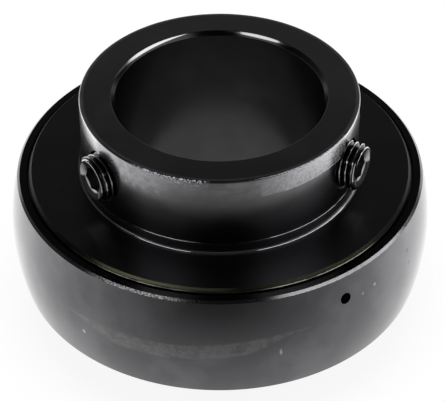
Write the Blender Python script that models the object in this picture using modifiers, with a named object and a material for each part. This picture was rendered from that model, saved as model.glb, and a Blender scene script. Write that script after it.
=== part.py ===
# Insert ball bearing: spherical outer ring, extended inner ring with two grub screws, riveted
# ribbon cage, lip seals and flingers. Metres, +Z up along the bearing's axis. The origin is the
# centre of the inner ring's lower end face, on which the bearing stands, long side up.

import math

import bmesh
import bpy

MM = 0.001

# Rings: bore, walls, balls
BORE_RADIUS = 17.5 * MM
INNER_WALL = 3.664 * MM          # bore to the bottom of the inner raceway
BALL_RADIUS = 5.556 * MM
BALL_COUNT = 9
OUTER_WALL = 3.61 * MM           # bottom of the outer raceway to the sphere
GROOVE_CONFORMITY = 1.04         # raceway section radius over ball radius
INNER_PLAY = 0.03 * MM           # ball to inner raceway
OUTER_PLAY = 0.084 * MM          # ball to outer raceway
INNER_SHOULDER = 2.286 * MM      # raceway bottom to the inner ring's outside
OUTER_SHOULDER = 1.19 * MM       # raceway bottom to the outer ring's inside land
BORE_CHAMFER = 0.7 * MM
INNER_CHAMFER = 0.45 * MM
OUTER_CHAMFER = 0.4 * MM
RECESS_CHAMFER = 0.2 * MM

# Cage
CAGE_THICKNESS = 0.7 * MM
CAGE_WIDTH = 3.3 * MM
POCKET_CLEARANCE = 0.3 * MM
CAGE_BEND = 1.0 * MM             # bend where a pocket meets the flat between pockets
CAGE_SPLIT = 0.1 * MM            # between the flats of the two halves
RIVET_RADIUS = 0.6 * MM
RIVET_CLEARANCE = 0.05 * MM
RIVET_HEAD_RADIUS = 1.15 * MM
RIVET_HEAD_HEIGHT = 0.5 * MM
RIVET_CROWN_RADIUS = 0.7 * MM    # flat top of a rivet's head
RIVET_SEAT_CLEARANCE = 0.02 * MM

# Seals and flingers, stacked outwards from the cage to each face
CAGE_TO_SEAL = 0.994 * MM
PLATE_THICKNESS = 0.6 * MM
PLATE_CLEARANCE = 0.05 * MM      # seal plate in its groove
PLATE_GROOVE_DEPTH = 0.5 * MM
RECESS_WALL = 3.1 * MM           # sphere's radius less the recess's radius
LIP_THICKNESS = 0.5 * MM
LIP_CLEARANCE = 0.09 * MM        # lip to the inner ring
LIP_REACH = 2.3 * MM             # bonded rubber, from the lip's tip outwards
PLATE_OVERLAP = 1.3 * MM         # width of rubber that lies on the plate
LIP_LEAN = 0.3 * MM              # how far the lip leans outwards along the axis
LIP_TIP = 0.2 * MM               # thickness of the lip at its tip
LIP_TO_FLINGER = 1.35 * MM
FLINGER_THICKNESS = 0.8 * MM
FLINGER_PROUD = 0.8 * MM         # flinger above the outer ring's face
FLINGER_GAP = 0.35 * MM          # flinger's edge to the recess
FLINGER_EDGE_ROUND = 0.25 * MM
FLINGER_BEND = 0.45 * MM         # inside bend between disc and collar
FLINGER_HEEL = 0.9 * MM          # outside bend, against the inner ring
COLLAR_THICKNESS = 0.4 * MM      # drawn thinner than the disc
COLLAR_HEIGHT = 1.8 * MM         # above the disc
COLLAR_CLEARANCE = 0.04 * MM     # collar on the inner ring
COLLAR_EDGE_ROUND = 0.1 * MM

# Inner ring's ends and grub screws
SHORT_OVERHANG = 7.5 * MM        # outer ring's face to the lower end
SCREW_RADIUS = 3.95 * MM
SCREW_CLEARANCE = 0.08 * MM
SCREW_TO_COLLAR = 1.85 * MM      # screw's side to the flinger's collar
SCREW_TO_END = 7.0 * MM          # screw's axis to the upper end
SCREW_LENGTH = 7.5 * MM
SCREW_END_CHAMFER = 0.45 * MM
SOCKET_ACROSS_FLATS = 4.0 * MM
SOCKET_DEPTH = 3.2 * MM
CUP_RADIUS = 2.1 * MM
CUP_DEPTH = 1.2 * MM
CUP_CHAMFER = 0.9 * MM           # length of the taper round the cup point
MOUTH_WIDTH = 0.45 * MM          # chamfer round a tapped hole's mouth
MOUTH_DEPTH = 0.8 * MM
SCREWS = {
    # azimuth from -Y towards +X in degrees, and how far the screw stands out of the inner ring
    "grub_screw_right": (64.0, 2.6 * MM),
    "grub_screw_left": (-56.0, 2.1 * MM),
}

# Lubrication hole
OIL_HOLE_RADIUS = 1.0 * MM
OIL_HOLE_AZIMUTH = 34.7          # from -Y towards +X, in degrees
OIL_HOLE_OFFSET = 2.2 * MM       # hole's axis beyond the edge of the raceway

RING_STEPS = 48
ARC_STEPS = 12                   # sphere's section
GROOVE_STEPS = 6
BEND_STEPS = 3
SMALL_STEPS = 24
BALL_SEGMENTS = 14
BALL_RINGS = 8
RIVET_STEPS = 10
OVERSHOOT = 2.0 * MM             # how far a cutter runs past what it cuts
MERGE = 0.00001
SHARP_ANGLE = 30.0               # edges that turn more than this stay sharp, in degrees

# Radii that follow from the walls, the balls and the plays
INNER_GROOVE_RADIUS = BORE_RADIUS + INNER_WALL
PITCH_RADIUS = INNER_GROOVE_RADIUS + INNER_PLAY + BALL_RADIUS
OUTER_GROOVE_RADIUS = PITCH_RADIUS + BALL_RADIUS + OUTER_PLAY
SPHERE_RADIUS = OUTER_GROOVE_RADIUS + OUTER_WALL
INNER_RING_RADIUS = INNER_GROOVE_RADIUS + INNER_SHOULDER
OUTER_LAND_RADIUS = OUTER_GROOVE_RADIUS - OUTER_SHOULDER
GROOVE_SECTION = BALL_RADIUS * GROOVE_CONFORMITY
RECESS_RADIUS = SPHERE_RADIUS - RECESS_WALL
FLINGER_RADIUS = RECESS_RADIUS - FLINGER_GAP
COLLAR_INNER_RADIUS = INNER_RING_RADIUS + COLLAR_CLEARANCE
COLLAR_OUTER_RADIUS = COLLAR_INNER_RADIUS + COLLAR_THICKNESS
LIP_TIP_RADIUS = INNER_RING_RADIUS + LIP_CLEARANCE
LIP_OUTER_RADIUS = LIP_TIP_RADIUS + LIP_REACH
PLATE_INNER_RADIUS = LIP_OUTER_RADIUS - PLATE_OVERLAP

# Heights above the balls' plane, the same on both sides
CAGE_FLAT = CAGE_SPLIT / 2 + CAGE_THICKNESS
CAGE_TOP = BALL_RADIUS + POCKET_CLEARANCE + CAGE_THICKNESS
PLATE_BOTTOM = CAGE_TOP + CAGE_TO_SEAL
PLATE_TOP = PLATE_BOTTOM + PLATE_THICKNESS
LIP_TOP = PLATE_TOP + LIP_THICKNESS
DISC_BOTTOM = LIP_TOP + LIP_TO_FLINGER
DISC_TOP = DISC_BOTTOM + FLINGER_THICKNESS
FACE = DISC_TOP - FLINGER_PROUD
COLLAR_TOP = DISC_TOP + COLLAR_HEIGHT
SCREW_HEIGHT = COLLAR_TOP + SCREW_TO_COLLAR + SCREW_RADIUS
LONG_END = SCREW_HEIGHT + SCREW_TO_END
SHORT_END = FACE + SHORT_OVERHANG
CENTRE_HEIGHT = SHORT_END        # balls' plane above the origin


def clear_scene():
    for obj in list(bpy.data.objects):
        bpy.data.objects.remove(obj, do_unlink=True)


def new_collection(name):
    collection = bpy.data.collections.new(name)
    bpy.context.scene.collection.children.link(collection)
    return collection


def material(name, colour, roughness, metallic):
    mat = bpy.data.materials.new(name)
    mat.use_nodes = True
    shader = mat.node_tree.nodes["Principled BSDF"]
    shader.inputs["Base Color"].default_value = (*colour, 1.0)
    shader.inputs["Roughness"].default_value = roughness
    shader.inputs["Metallic"].default_value = metallic
    mat.diffuse_color = (*colour, 1.0)
    return mat


def empty(name, location, parent=None):
    obj = bpy.data.objects.new(name, None)
    obj.empty_display_size = 0.01
    obj.location = location
    obj.parent = parent
    PARTS.objects.link(obj)
    return obj


def mesh_object(name, bm, collection, mat=None):
    mesh = bpy.data.meshes.new(name)
    bm.to_mesh(mesh)
    bm.free()
    obj = bpy.data.objects.new(name, mesh)
    collection.objects.link(obj)
    if mat:
        mesh.materials.append(mat)
    return obj


def turned(name, profile, collection, mat=None, steps=RING_STEPS, closed=True):
    # A turned piece. The profile is (radius, height) pairs that run down the outer side.
    bm = bmesh.new()
    verts = [bm.verts.new((radius, 0.0, height)) for radius, height in profile]
    pairs = list(zip(verts, verts[1:]))
    if closed:
        pairs.append((verts[-1], verts[0]))
    for first, second in pairs:
        bm.edges.new((first, second))
    obj = mesh_object(name, bm, collection, mat)
    screw = obj.modifiers.new("turn", "SCREW")
    screw.axis = "Z"
    screw.angle = math.tau
    screw.steps = steps
    screw.render_steps = steps
    screw.use_merge_vertices = True
    screw.merge_threshold = MERGE
    return obj


def hide_cutter(obj):
    obj.hide_render = True
    obj.display_type = "WIRE"
    return obj


def rod(name, radius, bottom, top, steps, collection):
    # An upright cylinder or prism between two heights
    bm = bmesh.new()
    bmesh.ops.create_cone(bm, cap_ends=True, segments=steps, radius1=radius, radius2=radius,
                          depth=top - bottom)
    bmesh.ops.translate(bm, verts=bm.verts, vec=(0.0, 0.0, (top + bottom) / 2))
    return mesh_object(name, bm, collection)


def cut(obj, cutter):
    hide_cutter(cutter)
    modifier = obj.modifiers.new("cut_" + cutter.name, "BOOLEAN")
    modifier.operation = "DIFFERENCE"
    modifier.solver = "EXACT"
    modifier.object = cutter


def finish(obj, parent):
    # Applies the modifiers, shades the piece and hangs it on its body's empty
    bpy.context.view_layer.update()
    depsgraph = bpy.context.evaluated_depsgraph_get()
    mesh = bpy.data.meshes.new_from_object(obj.evaluated_get(depsgraph))
    mesh.name = obj.name
    obj.modifiers.clear()
    obj.data = mesh
    mesh.shade_smooth()
    mesh.set_sharp_from_angle(angle=math.radians(SHARP_ANGLE))
    obj.parent = parent
    return obj


def arc(centre, radius, start, end, steps):
    # Points on an arc in the (radius, height) plane, angles in radians from outwards towards up
    points = []
    for i in range(steps + 1):
        angle = start + (end - start) * i / steps
        points.append((centre[0] + radius * math.cos(angle), centre[1] + radius * math.sin(angle)))
    return points


def mirrored(profile):
    # The same profile on the other side of the balls' plane, still running down its outer side
    return [(radius, -height) for radius, height in reversed(profile)]


def radial_turn(azimuth):
    # Rotation that points local +Z outwards at an azimuth measured from -Y towards +X
    return (math.radians(90), 0.0, math.radians(azimuth))


def outward(azimuth, distance, height):
    angle = math.radians(azimuth)
    return (distance * math.sin(angle), -distance * math.cos(angle), height)


def outer_ring(parent, mat):
    chamfer_height = FACE - OUTER_CHAMFER
    edge_angle = math.asin(chamfer_height / SPHERE_RADIUS)
    sphere = arc((0.0, 0.0), SPHERE_RADIUS, edge_angle, -edge_angle, ARC_STEPS)
    face_radius = sphere[0][0] - OUTER_CHAMFER
    groove_radius = RECESS_RADIUS + PLATE_GROOVE_DEPTH
    seat = PLATE_BOTTOM - PLATE_CLEARANCE
    groove_centre = (OUTER_GROOVE_RADIUS - GROOVE_SECTION, 0.0)
    groove_angle = math.acos((OUTER_LAND_RADIUS - groove_centre[0]) / GROOVE_SECTION)
    raceway = arc(groove_centre, GROOVE_SECTION, -groove_angle, groove_angle, GROOVE_STEPS)
    lower_bore = [
        (RECESS_RADIUS + RECESS_CHAMFER, -FACE),
        (RECESS_RADIUS, -FACE + RECESS_CHAMFER),
        (RECESS_RADIUS, -PLATE_TOP - PLATE_CLEARANCE),
        (groove_radius, -PLATE_TOP - PLATE_CLEARANCE),
        (groove_radius, -seat),
        (OUTER_LAND_RADIUS, -seat),
    ]
    upper_bore = [(radius, -height) for radius, height in reversed(lower_bore)]
    profile = [(face_radius, FACE)] + sphere + [(face_radius, -FACE)]
    profile += lower_bore + raceway + upper_bore
    ring = turned("outer_ring", profile, PARTS, mat)

    raceway_edge = GROOVE_SECTION * math.sin(groove_angle)
    hole = rod("oil_hole_cutter", OIL_HOLE_RADIUS, OUTER_LAND_RADIUS - OVERSHOOT,
               SPHERE_RADIUS + OVERSHOOT, SMALL_STEPS // 2, CUTTERS)
    hole.location = (0.0, 0.0, raceway_edge + OIL_HOLE_OFFSET)
    hole.rotation_euler = radial_turn(OIL_HOLE_AZIMUTH)
    cut(ring, hole)
    return finish(ring, parent)


def inner_ring(parent, mat):
    groove_centre = (INNER_GROOVE_RADIUS + GROOVE_SECTION, 0.0)
    groove_angle = math.acos((groove_centre[0] - INNER_RING_RADIUS) / GROOVE_SECTION)
    raceway = arc(groove_centre, GROOVE_SECTION, math.pi - groove_angle, math.pi + groove_angle,
                  GROOVE_STEPS + 2)
    profile = [
        (BORE_RADIUS, LONG_END - BORE_CHAMFER),
        (BORE_RADIUS + BORE_CHAMFER, LONG_END),
        (INNER_RING_RADIUS - INNER_CHAMFER, LONG_END),
        (INNER_RING_RADIUS, LONG_END - INNER_CHAMFER),
        *raceway,
        (INNER_RING_RADIUS, -SHORT_END + INNER_CHAMFER),
        (INNER_RING_RADIUS - INNER_CHAMFER, -SHORT_END),
        (BORE_RADIUS + BORE_CHAMFER, -SHORT_END),
        (BORE_RADIUS, -SHORT_END + BORE_CHAMFER),
    ]
    ring = turned("inner_ring", profile, PARTS, mat)
    hole_radius = SCREW_RADIUS + SCREW_CLEARANCE
    for name, (azimuth, _) in SCREWS.items():
        mouth = INNER_RING_RADIUS - MOUTH_DEPTH
        outside = INNER_RING_RADIUS + OVERSHOOT
        flare = hole_radius + MOUTH_WIDTH * (outside - mouth) / MOUTH_DEPTH
        cutter = turned(name + "_hole_cutter", [
            (0.0, outside), (flare, outside), (hole_radius, mouth),
            (hole_radius, BORE_RADIUS - OVERSHOOT), (0.0, BORE_RADIUS - OVERSHOOT),
        ], CUTTERS, steps=SMALL_STEPS, closed=False)
        cutter.location = (0.0, 0.0, SCREW_HEIGHT)
        cutter.rotation_euler = radial_turn(azimuth)
        cut(ring, cutter)
    return finish(ring, parent)


def flinger(name, parent, mat, upper):
    inner_bend = arc((COLLAR_OUTER_RADIUS + FLINGER_BEND, DISC_TOP + FLINGER_BEND), FLINGER_BEND,
                     math.pi, math.pi * 1.5, BEND_STEPS)
    heel = arc((COLLAR_INNER_RADIUS + FLINGER_HEEL, DISC_BOTTOM + FLINGER_HEEL), FLINGER_HEEL,
               math.pi * 1.5, math.pi, BEND_STEPS)
    profile = [
        (COLLAR_INNER_RADIUS, COLLAR_TOP),
        (COLLAR_OUTER_RADIUS - COLLAR_EDGE_ROUND, COLLAR_TOP),
        (COLLAR_OUTER_RADIUS, COLLAR_TOP - COLLAR_EDGE_ROUND),
        *inner_bend,
        (FLINGER_RADIUS - FLINGER_EDGE_ROUND, DISC_TOP),
        (FLINGER_RADIUS, DISC_TOP - FLINGER_EDGE_ROUND),
        (FLINGER_RADIUS, DISC_BOTTOM),
        *heel,
    ]
    if not upper:
        profile = mirrored(profile)
    return finish(turned(name, profile, PARTS, mat), parent)


def seal_plate(name, parent, mat, upper):
    outer = RECESS_RADIUS + PLATE_GROOVE_DEPTH - PLATE_CLEARANCE
    profile = [(PLATE_INNER_RADIUS, PLATE_TOP), (outer, PLATE_TOP),
               (outer, PLATE_BOTTOM), (PLATE_INNER_RADIUS, PLATE_BOTTOM)]
    if not upper:
        profile = mirrored(profile)
    return finish(turned(name, profile, PARTS, mat), parent)


def seal_lip(name, parent, mat, upper):
    # A rubber washer bonded on the plate, whose inner edge thins to a lip that leans outwards
    shoulder = PLATE_INNER_RADIUS - LIP_THICKNESS
    profile = [
        (LIP_TIP_RADIUS, LIP_TOP + LIP_LEAN),
        (LIP_TIP_RADIUS + LIP_TIP, LIP_TOP + LIP_LEAN),
        (shoulder, LIP_TOP),
        (LIP_OUTER_RADIUS, LIP_TOP),
        (LIP_OUTER_RADIUS, PLATE_TOP),
        (shoulder, PLATE_TOP),
        (LIP_TIP_RADIUS, LIP_TOP + LIP_LEAN - LIP_TIP),
    ]
    if not upper:
        profile = mirrored(profile)
    return finish(turned(name, profile, PARTS, mat), parent)


def pocket_section():
    # Middle line of one cage pitch, in (length along the pitch circle, height) from the centre of
    # one pocket's left-hand flat to the next: flat, bend, pocket, bend
    pocket = BALL_RADIUS + POCKET_CLEARANCE + CAGE_THICKNESS / 2
    reach = pocket + CAGE_BEND
    rise = CAGE_FLAT - CAGE_THICKNESS / 2 + CAGE_BEND
    bend_x = math.sqrt(reach ** 2 - rise ** 2)
    start = math.atan2(rise, bend_x)
    left_bend = arc((-bend_x, rise), CAGE_BEND, -math.pi / 2, -start, BEND_STEPS - 1)
    over = arc((0.0, 0.0), pocket, math.pi - start, start, ARC_STEPS - 2)
    right_bend = arc((bend_x, rise), CAGE_BEND, math.pi + start, math.pi * 1.5, BEND_STEPS - 1)
    return left_bend[:-1] + over + right_bend[1:]


def cage_half(name, parent, mat, upper):
    # A strip bent over each ball, thickened to a pressed ribbon, with a rivet hole in each flat
    side = 1.0 if upper else -1.0
    inner = PITCH_RADIUS - CAGE_WIDTH / 2
    widening = (PITCH_RADIUS + CAGE_WIDTH / 2) / inner
    bm = bmesh.new()
    rim = []
    for ball in range(BALL_COUNT):
        middle = math.radians(ball_azimuth(ball))
        for along, height in pocket_section():
            angle = middle + along / PITCH_RADIUS
            rim.append(bm.verts.new((inner * math.sin(angle), -inner * math.cos(angle),
                                     height * side)))
    edges = [bm.edges.new(pair) for pair in zip(rim, rim[1:] + rim[:1])]
    widened = bmesh.ops.extrude_edge_only(bm, edges=edges)["geom"]
    outer_rim = [item for item in widened if isinstance(item, bmesh.types.BMVert)]
    bmesh.ops.scale(bm, vec=(widening, widening, 1.0), verts=outer_rim)
    half = mesh_object(name, bm, PARTS, mat)
    solid = half.modifiers.new("ribbon", "SOLIDIFY")
    solid.thickness = CAGE_THICKNESS
    solid.offset = 0.0
    solid.use_even_offset = True
    for number in range(BALL_COUNT):
        hole = rod(f"{name}_hole_{number + 1}", RIVET_RADIUS + RIVET_CLEARANCE,
                   -CAGE_FLAT - OVERSHOOT, CAGE_FLAT + OVERSHOOT, RIVET_STEPS, CUTTERS)
        hole.location = outward(rivet_azimuth(number), PITCH_RADIUS, 0.0)
        cut(half, hole)
    return finish(half, parent)


def rivet(number, parent, mat):
    seat = CAGE_FLAT + RIVET_SEAT_CLEARANCE
    head = seat + RIVET_HEAD_HEIGHT
    profile = [
        (0.0, head), (RIVET_CROWN_RADIUS, head), (RIVET_HEAD_RADIUS, seat), (RIVET_RADIUS, seat),
        (RIVET_RADIUS, -seat), (RIVET_HEAD_RADIUS, -seat), (RIVET_CROWN_RADIUS, -head), (0.0, -head),
    ]
    obj = turned(f"cage_rivet_{number + 1}", profile, PARTS, mat, RIVET_STEPS, closed=False)
    finish(obj, parent)
    obj.location = outward(rivet_azimuth(number), PITCH_RADIUS, 0.0)
    return obj


def ball_azimuth(number):
    return 360.0 * number / BALL_COUNT


def rivet_azimuth(number):
    return 360.0 * (number + 0.5) / BALL_COUNT


def balls(parent, mat):
    bm = bmesh.new()
    bmesh.ops.create_uvsphere(bm, u_segments=BALL_SEGMENTS, v_segments=BALL_RINGS,
                              radius=BALL_RADIUS)
    first = mesh_object("ball_1", bm, PARTS, mat)
    first.data.shade_smooth()
    for number in range(BALL_COUNT):
        ball = first
        if number:
            ball = bpy.data.objects.new(f"ball_{number + 1}", first.data)
            PARTS.objects.link(ball)
        ball.parent = parent
        ball.location = outward(ball_azimuth(number), PITCH_RADIUS, 0.0)


def grub_screw(name, azimuth, stands_out, parent, mat):
    # Local +Z points out of the ring, and the origin is the middle of the socket end
    cone_end = SCREW_RADIUS - SCREW_END_CHAMFER
    profile = [
        (0.0, 0.0), (cone_end, 0.0),
        (SCREW_RADIUS, -SCREW_END_CHAMFER),
        (SCREW_RADIUS, -SCREW_LENGTH + CUP_CHAMFER),
        (CUP_RADIUS, -SCREW_LENGTH), (0.0, -SCREW_LENGTH + CUP_DEPTH),
    ]
    screw = turned(name, profile, PARTS, mat, SMALL_STEPS, closed=False)
    corner = SOCKET_ACROSS_FLATS / math.sqrt(3)
    socket = rod(name + "_socket_cutter", corner, -SOCKET_DEPTH, OVERSHOOT, 6, CUTTERS)
    cut(screw, socket)
    finish(screw, parent)
    socket.parent = screw
    screw.location = outward(azimuth, INNER_RING_RADIUS + stands_out, SCREW_HEIGHT)
    screw.rotation_euler = radial_turn(azimuth)
    return screw


clear_scene()
PARTS = new_collection("insert_bearing")
CUTTERS = new_collection("cutters")

black_steel = material("black_oxide_steel", (0.035, 0.035, 0.038), 0.3, 0.0)
flinger_steel = material("flinger_steel", (0.02, 0.02, 0.022), 0.35, 0.0)
screw_steel = material("screw_steel", (0.03, 0.03, 0.03), 0.25, 0.0)
ball_steel = material("ball_steel", (0.75, 0.75, 0.76), 0.08, 1.0)
cage_steel = material("cage_steel", (0.5, 0.5, 0.5), 0.35, 1.0)
plate_steel = material("plate_steel", (0.42, 0.41, 0.34), 0.35, 1.0)
lip_rubber = material("lip_rubber", (0.02, 0.02, 0.02), 0.7, 0.0)

outer_body = empty("outer_axis", (0.0, 0.0, CENTRE_HEIGHT))
inner_body = empty("inner_axis", (0.0, 0.0, 0.0), outer_body)
cage_body = empty("cage_axis", (0.0, 0.0, 0.0), outer_body)

outer_ring(outer_body, black_steel)
inner_ring(inner_body, black_steel)
for side_name, is_upper in (("upper", True), ("lower", False)):
    flinger("flinger_" + side_name, inner_body, flinger_steel, is_upper)
    seal_plate("seal_plate_" + side_name, outer_body, plate_steel, is_upper)
    seal_lip("seal_lip_" + side_name, outer_body, lip_rubber, is_upper)
    cage_half("cage_" + side_name, cage_body, cage_steel, is_upper)
for rivet_number in range(BALL_COUNT):
    rivet(rivet_number, cage_body, cage_steel)
balls(cage_body, ball_steel)
for screw_name, (screw_azimuth, stands_out) in SCREWS.items():
    grub_screw(screw_name, screw_azimuth, stands_out, inner_body, screw_steel)
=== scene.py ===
import math

import bmesh
import bpy
import numpy as np
from mathutils import Matrix, Vector


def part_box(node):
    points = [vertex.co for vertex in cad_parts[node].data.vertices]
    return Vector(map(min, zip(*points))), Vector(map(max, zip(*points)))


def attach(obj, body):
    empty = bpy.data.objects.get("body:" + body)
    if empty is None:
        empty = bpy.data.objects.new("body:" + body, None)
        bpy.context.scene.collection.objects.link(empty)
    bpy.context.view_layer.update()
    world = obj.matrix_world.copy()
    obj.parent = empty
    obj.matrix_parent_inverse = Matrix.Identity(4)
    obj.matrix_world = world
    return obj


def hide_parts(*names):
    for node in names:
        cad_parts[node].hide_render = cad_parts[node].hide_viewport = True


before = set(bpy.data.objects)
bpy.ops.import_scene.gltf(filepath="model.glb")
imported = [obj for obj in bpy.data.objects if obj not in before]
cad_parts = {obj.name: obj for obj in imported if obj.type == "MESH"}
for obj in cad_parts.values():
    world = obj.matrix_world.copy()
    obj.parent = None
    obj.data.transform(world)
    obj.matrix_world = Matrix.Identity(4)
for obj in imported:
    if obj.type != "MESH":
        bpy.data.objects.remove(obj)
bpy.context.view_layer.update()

# Lengths in the dictionaries are in millimetres, angles in degrees. Azimuths run from -Y, the
# side that faces the camera, towards +X. Heights in outlines count from the balls' plane.
mm = 0.001
tiny = 1e-6
cutPast = 2.0  # how far a cutter reaches beyond what it cuts
ringLow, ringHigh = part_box("outer_ring")
ballPlane = (ringLow.z + ringHigh.z) / 2 / mm
faceHeight = (ringHigh.z - ringLow.z) / 2 / mm


def outward(azimuth, distance, height):
    angle = math.radians(azimuth)
    return Vector((distance * math.sin(angle), -distance * math.cos(angle), height))


def cornerAt(radius, angle, height):
    # a mesh corner in metres, from millimetres and radians
    return (radius * math.cos(angle) * mm, radius * math.sin(angle) * mm, height * mm)


def arcPoints(centre, radius, start, end, steps=14):
    # corners with no rounding of their own along an arc, angles from outwards towards up
    points = []
    for step in range(steps + 1):
        angle = math.radians(start + (end - start) * step / steps)
        points.append((centre[0] + radius * math.cos(angle), centre[1] + radius * math.sin(angle), 0))
    return points


def softened(corners, steps=4, mostOfSide=0.48):
    # a closed outline of (radius, height, rounding), each rounded corner swapped for a small arc
    outline = []
    for index, (radius, height, rounding) in enumerate(corners):
        point = Vector((radius, height))
        before = Vector(corners[index - 1][:2]) - point
        after = Vector(corners[(index + 1) % len(corners)][:2]) - point
        if not rounding or before.length < tiny or after.length < tiny:
            outline.append(point)
            continue
        half = before.angle(after) / 2
        reach = min(rounding / math.tan(half), before.length * mostOfSide, after.length * mostOfSide)
        centre = point + (before.normalized() + after.normalized()).normalized() * reach / math.cos(half)
        first = point + before.normalized() * reach - centre
        last = point + after.normalized() * reach - centre
        startAngle = math.atan2(first.y, first.x)
        turn = (math.atan2(last.y, last.x) - startAngle + math.pi) % math.tau - math.pi
        for step in range(steps + 1):
            angle = startAngle + turn * step / steps
            outline.append(centre + first.length * Vector((math.cos(angle), math.sin(angle))))
    return outline


def mirroredDown(corners):
    # the same outline on the other side of the balls' plane
    return [(radius, -height, rounding) for radius, height, rounding in reversed(corners)]


def newMesh(name, verts, faces):
    mesh = bpy.data.meshes.new(name)
    mesh.from_pydata(verts, [], faces)
    return mesh


def linked(name, data):
    item = bpy.data.objects.new(name, data)
    bpy.context.scene.collection.objects.link(item)
    return item


def closedPiece(name, mesh, mergeWithin=None, closeEnds=None):
    # welds a new mesh, turns its faces outwards and puts it in the scene
    bm = bmesh.new()
    bm.from_mesh(mesh)
    if mergeWithin:
        bmesh.ops.remove_doubles(bm, verts=bm.verts, dist=mergeWithin)
    if closeEnds:
        closeEnds(bm)
    bmesh.ops.recalc_face_normals(bm, faces=bm.faces)
    bm.to_mesh(mesh)
    bm.free()
    return linked(name, mesh)


def turned(name, outline, steps=256, height=ballPlane, paint=None):
    # turns a closed outline about Z; paint(radius) picks a material index for a strip
    count = len(outline)
    verts = []
    for step in range(steps):
        angle = math.tau * step / steps
        for point in outline:
            verts.append(cornerAt(point.x, angle, point.y + height))
    faces = []
    strips = []
    for step in range(steps):
        here = step * count
        there = (step + 1) % steps * count
        for index in range(count):
            following = (index + 1) % count
            if outline[index].x < tiny and outline[following].x < tiny:
                continue
            faces.append((here + index, here + following, there + following, there + index))
            strips.append(index + 1)
    mesh = newMesh(name, verts, faces)
    mesh.attributes.new("strip", "INT", "FACE").data.foreach_set("value", strips)
    if paint:
        middles = [(outline[strip - 1] + outline[strip % count]) / 2 for strip in strips]
        mesh.polygons.foreach_set("material_index", [paint(middle.x) for middle in middles])
    return closedPiece(name, mesh, mergeWithin=1e-8)


def readOut(items, key, width=1, kind=np.float32):
    values = np.zeros(len(items) * width, kind)
    items.foreach_get(key, values)
    return values.reshape(-1, width) if width > 1 else values


def roundNormals(piece, outline, height=ballPlane, sharpAngle=30.0):
    # gives each turned strip the true normals of its outline, so that cuts leave no shading marks
    mesh = piece.data
    mesh.shade_smooth()
    mesh.set_sharp_from_angle(angle=math.radians(sharpAngle))
    points = np.array([tuple(point) for point in outline])
    along = np.roll(points, -1, axis=0) - points
    length = np.linalg.norm(along, axis=1)
    area = np.sum(points[:, 0] * np.roll(points[:, 1], -1) - np.roll(points[:, 0], -1) * points[:, 1])
    side = np.stack([along[:, 1], -along[:, 0]], axis=1) / length[:, None] * math.copysign(1.0, area)
    weighted = side * length[:, None] ** 2
    shared = weighted + np.roll(weighted, 1, axis=0)
    shared /= np.maximum(np.linalg.norm(shared, axis=1), 1e-12)[:, None]
    bends = np.sum(side * np.roll(side, 1, axis=0), axis=1) < math.cos(math.radians(sharpAngle))
    atStart = np.where(bends[:, None], side, shared)
    atEnd = np.where(np.roll(bends, -1)[:, None], side, np.roll(shared, -1, axis=0))

    normals = readOut(mesh.corner_normals, "vector", 3).astype(float)
    vertexOf = readOut(mesh.loops, "vertex_index", kind=np.int32)
    places = readOut(mesh.vertices, "co", 3)[vertexOf].astype(float) / mm
    strip = readOut(mesh.attributes["strip"].data, "value", kind=np.int32)
    strips = np.repeat(strip, readOut(mesh.polygons, "loop_total", kind=np.int32))
    known = strips > 0
    picked = strips[known] - 1
    spot = places[known]
    radius = np.maximum(np.hypot(spot[:, 0], spot[:, 1]), 1e-9)
    flat = np.stack([radius, spot[:, 2] - height], axis=1)
    share = np.sum((flat - points[picked]) * along[picked], axis=1) / length[picked] ** 2
    share = np.clip(share, 0, 1)[:, None]
    blended = atStart[picked] * (1 - share) + atEnd[picked] * share
    blended /= np.linalg.norm(blended, axis=1)[:, None]
    normals[known, 0] = blended[:, 0] * spot[:, 0] / radius
    normals[known, 1] = blended[:, 0] * spot[:, 1] / radius
    normals[known, 2] = blended[:, 1]
    mesh.normals_split_custom_set(normals.tolist())


def rodMesh(name, rings, steps):
    # a closed turned solid along its own Z from (radius, height) rings, with flat ends
    verts = []
    for radius, height in rings:
        for step in range(steps):
            verts.append(cornerAt(radius, math.tau * (step + 0.5) / steps, height))
    faces = [tuple(range(steps))]
    for ring in range(len(rings) - 1):
        for step in range(steps):
            following = (step + 1) % steps
            faces.append((ring * steps + step, ring * steps + following,
                          (ring + 1) * steps + following, (ring + 1) * steps + step))
    faces.append(tuple((len(rings) - 1) * steps + step for step in range(steps)))
    return closedPiece(name, newMesh(name, verts, faces))


# one turn of the thread as (part of the pitch, part of the depth), from crest to crest
threadShape = [(0.0, 1.0), (0.045, 1.0), (0.085, 0.93), (0.37, 0.12), (0.43, 0.02), (0.5, 0.0),
               (0.57, 0.02), (0.63, 0.12), (0.915, 0.93), (0.955, 1.0)]


def threadRod(name, crest, root, pitch, low, high, steps=64):
    # a helical thread between two heights, with a cone fan over each stepped end
    turns = math.ceil((high - low) / pitch) + 2
    rows = len(threadShape) * turns + 1
    verts = []
    for step in range(steps + 1):
        for row in range(rows):
            portion, depth = threadShape[row % len(threadShape)]
            height = low + pitch * (row // len(threadShape) + portion + step / steps - 1.5)
            verts.append(cornerAt(root + (crest - root) * depth, math.tau * step / steps, height))
    faces = []
    for step in range(steps):
        for row in range(rows - 1):
            here = step * rows + row
            faces.append((here, here + rows, here + rows + 1, here + 1))

    def coneEnds(bm):
        middle = (low + high) / 2 * mm
        for sign in (-1, 1):
            rim = [edge for edge in bm.edges if edge.is_boundary
                   and (edge.verts[0].co.z + edge.verts[1].co.z - 2 * middle) * sign > 0]
            heights = [vert.co.z for edge in rim for vert in edge.verts]
            tip = bm.verts.new((0.0, 0.0, sum(heights) / len(heights)))
            for edge in rim:
                bm.faces.new((edge.verts[0], edge.verts[1], tip))

    return closedPiece(name, newMesh(name, verts, faces), mergeWithin=1e-7, closeEnds=coneEnds)


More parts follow.
